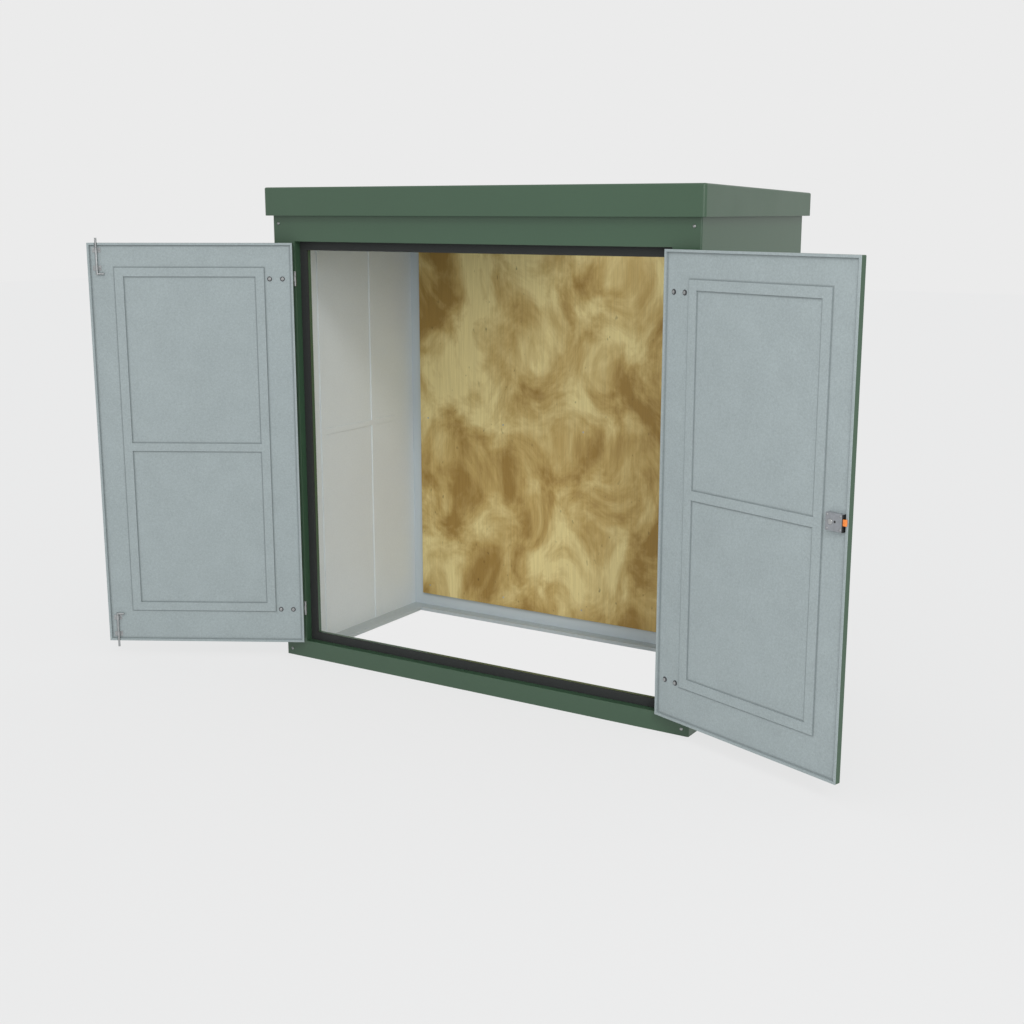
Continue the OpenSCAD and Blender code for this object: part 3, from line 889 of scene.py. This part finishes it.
@dataclass
class Door:
    """One hung door, built in its own shut position and carried to where it stands open.

    In the shut position X runs from the hinge pin to the free edge, Y from the outer face inwards and
    Z up from the ground.
    """

    side: Side
    lip_w: float = 10 * MM
    lip_lap: float = 3 * MM
    edge_r: float = 3.5 * MM
    rib_w: float = 39 * MM

    def __post_init__(self) -> None:
        """Finds the door's place from its hinge, and its sizes from its nodes."""
        joint = next(j for j in frame["joints"] if j["name"] == f"{self.side.word}_door_hinge")
        self.pin = pin = Vector(joint["pos_m"])
        shut = joint["range_deg"][1] if self.side is Side.LEFT else joint["range_deg"][0]
        mirror = Matrix.Scale(-1, 4, Vector((1, 0, 0))) if self.side is Side.RIGHT else Matrix.Identity(4)
        self.face_y = face_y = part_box("left_jamb")[0].y
        self.place = (Matrix.Translation((pin.x, pin.y, 0)) @ Matrix.Rotation(math.radians(-shut), 4, "Z")
                      @ mirror @ Matrix.Translation((0, face_y - pin.y, 0)))
        self.back = self.place.inverted()
        self.skin_low, self.skin_high = self.local_box(f"{self.side.word}_door_skin")
        self.liner_low, self.liner_high = self.local_box(f"{self.side.word}_door_liner")
        self.rib_low, self.rib_high = self.local_box(f"{self.side.word}_door_ribs")

    def local_box(self, node: str) -> tuple[Vector, Vector]:
        """Lowest and highest corner of a node in the door's own shut position."""
        places = [self.back @ v.co for v in frame["nodes"][node].data.vertices]
        return (Vector(min(p[i] for p in places) for i in range(3)),
                Vector(max(p[i] for p in places) for i in range(3)))

    def hang(self, bm: bmesh.types.BMesh) -> None:
        """Carries a working mesh from the shut position to where the door stands."""
        bmesh.ops.transform(bm, matrix=self.place, verts=bm.verts)

    def spot(self, x: float, y: float, z: float) -> Vector:
        """A point of the shut position, where the door stands."""
        return self.place @ Vector((x, y, z))

    def aim(self, y: float) -> Vector:
        """The direction across the door, where it stands: positive y is inwards."""
        return (self.place.to_3x3() @ Vector((0, y, 0))).normalized()

    def skin_mesh(self) -> bpy.types.Mesh:
        """The outer skin: a tray whose turned edges meet its face in a soft radius."""
        low, high = self.skin_low, self.skin_high
        wall = 4 * MM

        def ring(inset: float, y: float) -> Loop:
            """The door's outline set in from its edge, at a depth."""
            return rounded_loop((low.x + inset, low.z + inset), (high.x - inset, high.z - inset),
                                self.edge_r - inset, lambda x, z: Vector((x, y, z)), 3)

        loops = [ring(wall, low.y + wall), ring(wall, high.y), ring(0, high.y)]
        loops += [ring(inset, low.y + short) for inset, short in quarter_round(self.edge_r, 4)]
        bm = bmesh.new()
        loft(bm, loops, cap_first=True, cap_last=True)
        self.hang(bm)
        return finish_mesh(bm, "skin")

    def relief(self, x: float, z: float, floor: float, panes: Sequence[tuple[Vector, Vector]]) -> tuple[float, float]:
        """Depth of the liner's inner face at a point: lip, panel and ribs, and the painted shade it gets.

        Args:
            x: distance from the hinge pin.
            z: height.
            floor: depth of the flat panel.
            panes: low and high corners of the two areas between the ribs.

        Returns:
            The depth in the door's own shut position, and how much painted shade the point gets at the feet of the
            ribs and the lip.
        """
        low, high = self.liner_low, self.liner_high
        edge = min(x - low.x, high.x - x, z - low.z, high.z - z)
        lip = 1 - smooth_step(edge, self.lip_w - 1.2 * MM, self.lip_w + 1.4 * MM)
        round_off = 1.0 * MM
        turned = math.sqrt(max(0.0, 1 - (1 - min(edge, round_off) / round_off) ** 2)) - 1
        outer = min(x - self.rib_low.x, self.rib_high.x - x, z - self.rib_low.z, self.rib_high.z - z)
        inner = min(-min(x - a.x, b.x - x, z - a.z, b.z - z) for a, b in panes)
        rise = smooth_step(min(outer, inner), 0.0, 1.5 * MM)
        # painted shade at the foot of each rib and just inside the lip, fading out over 6.5 and 8 mm
        foot = max(1 - abs(min(outer, inner) + 0.5 * MM) / (6.5 * MM), 1 - (edge - self.lip_w) / (8 * MM)
                   if edge > self.lip_w - 1 * MM else 0.0, 0.0)
        shade = min(foot, 1.0) * (1 - rise) * (1 - lip)
        return floor + lip * (high.y - floor) + rise * (self.rib_high.y - floor) + turned * round_off, shade

    def liner_mesh(self, middle: tuple[float, float], notch: float | None) -> bpy.types.Mesh:
        """The inner liner: one laminate that runs over the lip, the panel and the ribs.

        Args:
            middle: lower and upper edge of the middle rib.
            notch: where the rods cross the lip, or None.

        Returns:
            The mesh, closed behind.
        """
        low, high = self.liner_low, self.liner_high
        floor = self.rib_high.y - 5 * MM
        rib0, rib1, width = self.rib_low, self.rib_high, self.rib_w
        panes = [(Vector((rib0.x + width, 0, rib0.z + width)), Vector((rib1.x - width, 0, middle[0]))),
                 (Vector((rib0.x + width, 0, middle[1])), Vector((rib1.x - width, 0, rib1.z - width)))]
        lips = (0, 0.25 * MM, 0.6 * MM, 1 * MM, self.lip_w - 1.2 * MM, self.lip_w - 0.4 * MM, self.lip_w + 0.4 * MM,
                self.lip_w + 1.4 * MM,
                self.lip_w + 5 * MM, self.lip_w + 9 * MM)
        slope = (-7 * MM, -3.5 * MM, 0, 0.4 * MM, 0.75 * MM, 1.1 * MM, 1.5 * MM)
        xs = {low.x + d for d in lips} | {high.x - d for d in lips}
        zs = {low.z + d for d in lips} | {high.z - d for d in lips}
        for edge, sign in ((rib0.x, 1), (rib0.x + width, -1), (rib1.x - width, 1), (rib1.x, -1)):
            xs |= {edge + sign * d for d in slope}
        for edge, sign in ((rib0.z, 1), (rib0.z + width, -1), (middle[0], 1), (middle[1], -1),
                           (rib1.z - width, 1), (rib1.z, -1)):
            zs |= {edge + sign * d for d in slope}
        half = 6.3 * MM
        if notch is not None:
            xs |= {notch + d for d in (-half - 0.4 * MM, -half, half, half + 0.4 * MM)}
        xs_row, zs_row = sorted(xs), sorted(zs)
        bm = bmesh.new()
        # each vertex carries its share of painted shade for the liner's material
        crease = bm.verts.layers.float.new("crease")
        grid = []
        for z in zs_row:
            row = []
            for x in xs_row:
                y, shade = self.relief(x, z, floor, panes)
                in_lip = min(z - low.z, high.z - z) < self.lip_w + 2 * MM
                if notch is not None and in_lip and abs(x - notch) < half + 0.1 * MM:
                    y = floor
                row.append(bm.verts.new((x, y, z)))
                row[-1][crease] = shade
            grid.append(row)
        for below, above in zip(grid, grid[1:]):
            for i in range(len(xs_row) - 1):
                bm.faces.new((below[i], below[i + 1], above[i + 1], above[i]))
        rim = grid[0] + [row[-1] for row in grid[1:]] + grid[-1][-2::-1] + [row[0] for row in grid[-2:0:-1]]
        lap_y = high.y - self.lip_lap
        inset = 4 * MM
        under, core, deep = [], [], []
        for v in rim:
            x = min(max(v.co.x, low.x + inset), high.x - inset)
            z = min(max(v.co.z, low.z + inset), high.z - inset)
            under.append(bm.verts.new((v.co.x, min(lap_y, v.co.y), v.co.z)))
            core.append(bm.verts.new((x, min(lap_y, v.co.y), z)))
            deep.append(bm.verts.new((x, low.y, z)))
        for a, b in ((rim, under), (under, core), (core, deep)):
            for i in range(len(rim)):
                j = (i + 1) % len(rim)
                bm.faces.new((a[i], a[j], b[j], b[i]))
        bmesh.ops.remove_doubles(bm, verts=bm.verts, dist=0.001 * MM)
        open_edges = [e for e in bm.edges if e.is_boundary]
        bmesh.ops.contextual_create(bm, geom=open_edges)
        self.hang(bm)
        return finish_mesh(bm, "liner", 28)

    def build(self, green: bpy.types.Material, grey: bpy.types.Material, steel: bpy.types.Material,
              dark: bpy.types.Material, fasteners: FastenerTree, notch: float | None) -> None:
        """Makes the skin, the liner with its ribs, the hinges and the hinge bolts.

        Args:
            green: the skin's finish.
            grey: the liner's finish.
            steel: the hinges' finish.
            dark: the inner washers' finish.
            fasteners: the tree that sets out bolts.
            notch: where the rods cross the lip, or None.
        """
        word, body = self.side.word, f"{self.side.word}_door"
        skin = add_piece(f"{word}_skin", self.skin_mesh(), green)
        stand_in(skin, body, "green_gelcoat", f"{word}_door_skin")
        verts = [self.back @ v.co for v in frame["nodes"][f"{word}_door_ribs"].data.vertices]
        mid = sorted({round(v.z, 4) for v in verts})
        liner = add_piece(f"{word}_liner", self.liner_mesh((mid[2], mid[3]), notch), grey)
        stand_in(liner, body, "door_liner_gelcoat", f"{word}_door_liner", f"{word}_door_ribs")
        self.build_hinges(steel, dark, fasteners)

    def build_hinges(self, steel: bpy.types.Material, dark: bpy.types.Material,
                     fasteners: FastenerTree) -> None:
        """Softens the hinge leaves and bolts them through the door and the frame.

        Args:
            steel: the finish.
            dark: the inner washers' finish.
            fasteners: the tree that sets out bolts.
        """
        word, body = self.side.word, f"{self.side.word}_door"
        along = (48.5 * MM, 103.5 * MM)
        aside = (40 * MM, 88 * MM)
        floor = self.rib_high.y - 5 * MM
        outer, inner, framed = [], [], []
        for end in ("top", "bottom"):
            for owner, rider in (("door", body), ("frame", "enclosure")):
                node = f"{word}_{owner}_hinge_{end}"
                mesh = softened(node, node, 0.6 * MM, segments=2)
                stand_in(add_piece(f"{word}_{owner}_leaf_{end}", mesh, steel), rider, "stainless_steel", node)
            low, high = self.local_box(f"{word}_door_hinge_{end}")
            z = (low.z + high.z) / 2
            leaf_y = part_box("left_frame_hinge_top")[1].y - 3 * MM
            for x in along:
                outer.append((self.spot(x, -3 * MM, z), self.aim(-1)))
                inner.append((self.spot(x, floor, z), self.aim(1)))
            for x in aside:
                pin_x = next(j["pos_m"][0] for j in frame["joints"] if j["name"] == f"{word}_door_hinge")
                framed.append((Vector((pin_x + self.side.value * x, leaf_y, z)), Vector((0, -1, 0))))
        for name, head, seats, rider, seed in (
                ("outer_hinge_bolts", Head.WASHERED_BOLT, outer, body, 21),
                ("inner_hinge_nuts", Head.NUT, inner, body, 22),
                ("frame_hinge_bolts", Head.WASHERED_BOLT, framed, "enclosure", 23)):
            size = 1.0 if name.startswith("inner") else 0.75
            piece = fasteners.build(f"{word}_{name}", head, seats, steel, seed, size)
            stand_in(piece, rider, "stainless_steel")
        washers = fasteners.build(f"{word}_inner_hinge_washers", Head.WASHER, inner, dark, 24)
        stand_in(washers, body, "zinc_plate")


def smooth_step(value: float, start: float, end: float) -> float:
    """Rises smoothly from 0 at start to 1 at end."""
    share = min(max((value - start) / (end - start), 0.0), 1.0)
    return share * share * (3 - 2 * share)


# ------------------------------------------------------------------- fittings


@dataclass
class ShootBolts:
    """The two shoot bolts of the left door: rods with a finger grip, held by strap guides."""

    door: Door

    clearance: float = 2.7 * MM
    beyond: float = 1 * MM

    def __post_init__(self) -> None:
        """Finds the rods' radius and place from the outer end of the top rod."""
        places = [self.door.back @ v.co for v in frame["nodes"]["top_bolt"].data.vertices]
        top = max(p.z for p in places)
        tip = [p for p in places if p.z > top - 1 * MM]
        self.rod_x = (min(p.x for p in tip) + max(p.x for p in tip)) / 2
        self.rod_y = (min(p.y for p in tip) + max(p.y for p in tip)) / 2
        self.rod_r = (max(p.y for p in tip) - min(p.y for p in tip)) / 2

    def keepers(self) -> list[tuple[Vector, Vector, float]]:
        """The holes in header and sill that take the rods when the door is shut."""
        x, y = self.door.pin.x + self.rod_x, self.door.face_y + self.rod_y
        leaf_low, leaf_high = self.door.skin_low.z, self.door.skin_high.z
        radius = self.rod_r + self.clearance
        return [(Vector((x, y, leaf_high)), Vector((x, y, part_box("top_bolt")[1].z + self.beyond)), radius),
                (Vector((x, y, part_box("bottom_bolt")[0].z - self.beyond)), Vector((x, y, leaf_low)), radius)]

    def build(self, zinc: bpy.types.Material, fasteners: FastenerTree) -> None:
        """Softens rods and guides, and screws the guides on.

        Args:
            zinc: the finish.
            fasteners: the tree that sets out screws.
        """
        for end in ("top", "bottom"):
            rod = softened(f"{end}_rod", f"{end}_bolt", 1.1 * MM, segments=2)
            stand_in(add_piece(f"{end}_rod", rod, zinc), f"{end}_bolt", "zinc_plate", f"{end}_bolt")
            strap = softened(f"{end}_straps", f"{end}_bolt_guides", 0.4 * MM, segments=2)
            stand_in(add_piece(f"{end}_straps", strap, zinc), "left_door", "zinc_plate", f"{end}_bolt_guides")
            self.screw_down(end, zinc, fasteners)

    def screw_down(self, end: str, zinc: bpy.types.Material, fasteners: FastenerTree) -> None:
        """Puts a screw in each ear of each guide's plate."""
        node = f"{end}_bolt_guides"
        low, high = self.door.local_box(node)
        levels = sorted({round((self.door.back @ v.co).z, 4) for v in frame["nodes"][node].data.vertices})
        centres = [(levels[0] + levels[1]) / 2, (levels[-2] + levels[-1]) / 2]
        plate = low.y + 1.5 * MM
        ear = 5.5 * MM
        seats = [(self.door.spot(x, plate, z), self.door.aim(1))
                 for z in centres for x in (low.x + ear, high.x - ear)]
        screws = fasteners.build(f"{end}_guide_screws", Head.SMALL_SCREW, seats, zinc, 31, 0.8)
        stand_in(screws, "left_door", "zinc_plate")


@dataclass
class Lock:
    """The right door's lock: case with hub, a black disc of painted shade for the keyhole, faceplate, latch tongue,
    and lever outside.
    """

    door: Door

    def add_round(self, name: str, centre: tuple[float, float], face: float,
                  rings: Sequence[tuple[float, float]], slot: str, material: bpy.types.Material) -> None:
        """Makes a round fitting on the lock case.

        Args:
            name: the piece's name.
            centre: its middle, along and up the door.
            face: depth of the case's face.
            rings: radius and height over the face of each ring, in millimetres.
            slot: the material slot that it stands for.
            material: the finish.
        """
        bm = bmesh.new()
        turn = [math.tau * i / 32 for i in range(32)]
        loft(bm, [[Vector((centre[0] + r * MM * math.cos(a), face + y * MM, centre[1] + r * MM * math.sin(a)))
                   for a in turn] for r, y in rings], cap_first=True, cap_last=True)
        self.door.hang(bm)
        stand_in(add_piece(name, finish_mesh(bm, name), material), "right_door", slot)

    def build(self, paint: bpy.types.Material, black: bpy.types.Material, orange: bpy.types.Material,
              steel: bpy.types.Material, fasteners: FastenerTree) -> None:
        """Makes every piece of the lock.

        Args:
            paint: the case's finish.
            black: the faceplate's finish, also the keyhole's disc of painted shade.
            orange: the tongue's finish.
            steel: the lever's and the hub's finish.
            fasteners: the tree that sets out screws.
        """
        for name, node, width, body, slot, material in (
                ("lock_body", "lock_case", 2.2 * MM, "right_door", "lock_paint", paint),
                ("lock_strip", "lock_faceplate", 0.6 * MM, "right_door", "lock_faceplate_black", black),
                ("tongue", "latch_tongue", 1.4 * MM, "latch", "latch_orange", orange),
                ("lever", "door_handle", 1.8 * MM, "right_door", "stainless_steel", steel)):
            stand_in(add_piece(name, softened(name, node, width), material), body, slot, node)
        low, high = self.door.local_box("lock_case")
        hub_x, hub_z = low.x + 20 * MM, (low.z + high.z) / 2
        face = high.y
        self.add_round("lock_hub", (hub_x, hub_z), face,
                       ((9.8, -1.0), (9.8, 1.2), (8.8, 2.2), (4.4, 2.8), (1.0, 3.0)), "stainless_steel", steel)
        # a black disc on the case stands for the keyhole: painted shade in place of the hole
        self.add_round("lock_keyhole", (hub_x + 19 * MM, hub_z + 2 * MM), face,
                       ((4.2, -1.0), (4.2, 0.3), (3.6, 0.5), (1.0, 0.5)), "lock_faceplate_black", black)
        inset = 7 * MM
        seats = [(self.door.spot(x, face, z), self.door.aim(1))
                 for x in (low.x + inset, high.x - inset) for z in (low.z + inset, high.z - inset)]
        screws = fasteners.build("lock_screws", Head.SMALL_SCREW, seats, steel, 41)
        stand_in(screws, "right_door", "stainless_steel")


# --------------------------------------------------------------------- studio


@dataclass(frozen=True)
class Lamp:
    """A soft area lamp: place, target, size and power."""

    name: str
    place: Point
    target: Point
    size: float
    power: float

    def build(self) -> None:
        """Puts the lamp in the scene."""
        light = bpy.data.lights.new(self.name, "AREA")
        light.shape = "DISK"
        light.size = self.size
        light.energy = self.power
        made = bpy.data.objects.new(self.name, light)
        made.location = self.place
        aim = Vector(self.target) - Vector(self.place)
        made.rotation_euler = aim.to_track_quat("-Z", "Y").to_euler()
        bpy.context.scene.collection.objects.link(made)


@dataclass(frozen=True)
class Sun:
    """A wide, soft key light: the way to it, its width in degrees and its strength."""

    name: str
    way: Point
    width: float
    strength: float

    def build(self) -> None:
        """Puts the light in the scene."""
        light = bpy.data.lights.new(self.name, "SUN")
        light.angle = math.radians(self.width)
        light.energy = self.strength
        made = bpy.data.objects.new(self.name, light)
        made.rotation_euler = Vector(self.way).to_track_quat("Z", "Y").to_euler()
        bpy.context.scene.collection.objects.link(made)


@dataclass
class Studio:
    """Plain pale studio: floor, soft lamps, even world light and the camera."""

    front_y: float
    room: Vector
    floor_tone: float = 0.831
    plain_outside: float = 0.86
    world_tone: float = 0.82
    lens: float = 50.0
    camera_from_front: Point = (3.15498, -4.72375, 1.97837)
    camera_turn: float = 31.99
    camera_dip: float = 12.02

    def build_camera(self) -> None:
        """Stands the camera at its place in front of the doorway's right side."""
        data = bpy.data.cameras.new("camera")
        data.lens = self.lens
        data.sensor_width = 36.0
        camera = bpy.data.objects.new("camera", data)
        x, y, z = self.camera_from_front
        camera.location = (x, self.front_y + y, z)
        camera.rotation_euler = (math.radians(90 - self.camera_dip), 0, math.radians(self.camera_turn))
        bpy.context.scene.collection.objects.link(camera)
        bpy.context.scene.camera = camera

    def build_world(self) -> None:
        """Even light from all round, and a pale background where rays meet nothing."""
        world = bpy.data.worlds.new("studio")
        bpy.context.scene.world = world
        world.use_nodes = True
        nodes, links = world.node_tree.nodes, world.node_tree.links
        lit = nodes["Background"]
        lit.inputs["Color"].default_value = (0.96, 0.98, 1.0, 1)
        lit.inputs["Strength"].default_value = self.world_tone
        seen = nodes.new("ShaderNodeBackground")
        tone = self.floor_tone
        seen.inputs["Color"].default_value = (tone, tone, tone, 1)
        seen.inputs["Strength"].default_value = 1.0
        path = nodes.new("ShaderNodeLightPath")
        either = nodes.new("ShaderNodeMath")
        either.operation = "MAXIMUM"
        both = nodes.new("ShaderNodeMath")
        both.operation = "MAXIMUM"
        mix = nodes.new("ShaderNodeMixShader")
        links.new(path.outputs["Is Camera Ray"], either.inputs[0])
        links.new(path.outputs["Is Transmission Ray"], either.inputs[1])
        links.new(either.outputs[0], both.inputs[0])
        links.new(path.outputs["Is Glossy Ray"], both.inputs[1])
        links.new(both.outputs[0], mix.inputs["Fac"])
        links.new(lit.outputs[0], mix.inputs[1])
        links.new(seen.outputs[0], mix.inputs[2])
        links.new(mix.outputs[0], nodes["World Output"].inputs["Surface"])

    def build_floor(self) -> None:
        """A wide pale floor that keeps the enclosure's shadow."""
        bm = bmesh.new()
        bmesh.ops.create_grid(bm, x_segments=1, y_segments=1, size=30)
        mesh = bpy.data.meshes.new("floor")
        bm.to_mesh(mesh)
        bm.free()
        graph = Graph("floor_paint")
        tone = self.floor_tone
        graph.shader.inputs["Base Color"].default_value = (tone, tone, tone, 1)
        graph.shader.inputs["Roughness"].default_value = 1.0
        graph.shader.inputs["Specular IOR Level"].default_value = 0.0
        plain = graph.node("ShaderNodeEmission")
        plain.inputs["Color"].default_value = (tone, tone, tone, 1)
        path = graph.node("ShaderNodeLightPath")
        seen = graph.sum("MAXIMUM", path.outputs["Is Camera Ray"], path.outputs["Is Glossy Ray"])
        seen = graph.sum("MAXIMUM", seen, path.outputs["Is Transmission Ray"])
        split = graph.node("ShaderNodeSeparateXYZ")
        graph.feed(split.inputs["Vector"], graph.coords)
        share: object = 1.0
        for axis, reach in (("X", self.room.x), ("Y", self.room.y)):
            value = graph.sum("ABSOLUTE", split.outputs[axis], 0.0)
            share = graph.sum("MULTIPLY", share, graph.sum("LESS_THAN", value, reach))
        plainness = graph.spread(share, self.plain_outside, 1.0, 0, 1)
        mix = graph.node("ShaderNodeMixShader")
        graph.feed(mix.inputs["Fac"], graph.sum("MULTIPLY", seen, plainness))
        graph.feed(mix.inputs[1], graph.shader.outputs["BSDF"])
        graph.feed(mix.inputs[2], plain.outputs["Emission"])
        graph.feed(graph.tree.nodes["Material Output"].inputs["Surface"], mix.outputs["Shader"])
        floor = add_piece("floor", mesh, graph.material)
        floor.location.z = -0.5 * MM

    def build(self) -> None:
        """Makes the camera, the world, the floor and the lamps."""
        self.build_camera()
        self.build_world()
        self.build_floor()
        Sun("key", (0.50, -0.60, 0.62), 14.0, 0.55).build()
        Lamp("side", (2.6, -3.4, 2.6), (0.4, 0, 1.2), 2.0, 26).build()
        Lamp("room", (0.2, 0.02, self.room.z - 0.12), (0.2, -0.1, 0), 0.8, 1.6).build()
        bpy.context.scene.view_settings.view_transform = "Standard"


def main() -> None:
    """Builds the studio and every piece."""
    logging.basicConfig(level=logging.INFO, format="%(message)s")
    green = Gelcoat("green_gelcoat", (0.044, 0.094, 0.052), 0.34, 0.02)
    wall_grey = Flowcoat("wall_flowcoat", (0.735, 0.785, 0.80), 0.5, 0.025)
    green_skin = green.build()
    # the door liner's flowcoat darkens with painted shade at the feet of its ribs and lip
    door_grey = Flowcoat("door_flowcoat", (0.343, 0.395, 0.399), 0.5, 0.10, 0.7).build()
    # the wall flowcoat darkened as painted shade for the base flanges, whose tops face the dark underside of the roof
    grey = Flowcoat("flange_flowcoat", (0.48, 0.53, 0.545), 0.5, 0.03).build()
    pale = Flowcoat("rib_flowcoat", (0.735, 0.785, 0.80), 0.5, 0.025).build()
    foam = Foam("gasket_foam", (0.029, 0.031, 0.030)).build()
    board_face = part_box("backboard")[0].y
    ply = Plywood("plywood", (0.88, 0.735, 0.345), (0.60, 0.425, 0.15), (0.385, 0.235, 0.058), board_face).build()
    steel = Metal("stainless_steel", (0.46, 0.47, 0.47), 0.36).build()
    zinc = Metal("zinc_plate", (0.47, 0.485, 0.49), 0.36).build()
    dark_zinc = Metal("dulled_zinc", (0.12, 0.125, 0.13), 0.5).build()
    paint = Lacquer("lock_paint", (0.235, 0.245, 0.26)).build()
    black = Lacquer("lock_black", (0.012, 0.012, 0.012), 0.4).build()
    orange = Lacquer("latch_orange", (0.86, 0.235, 0.035), 0.4, 0.02).build()

    fasteners = FastenerTree()
    body = Body(green, wall_grey)
    Studio(body.low.y, body.inner).build()
    left, right = Door(Side.LEFT), Door(Side.RIGHT)
    bolts = ShootBolts(left)
    body.build(fasteners, steel, bolts.keepers())
    Roof().build(green_skin, body.high.z)
    Gasket().build(foam, body)
    Interior().build(grey, pale, ply, steel, fasteners)
    left.build(green_skin, door_grey, steel, dark_zinc, fasteners, bolts.rod_x)
    right.build(green_skin, door_grey, steel, dark_zinc, fasteners, None)
    bolts.build(zinc, fasteners)
    Lock(right).build(paint, black, orange, steel, fasteners)


if __name__ == "__main__":
    main()
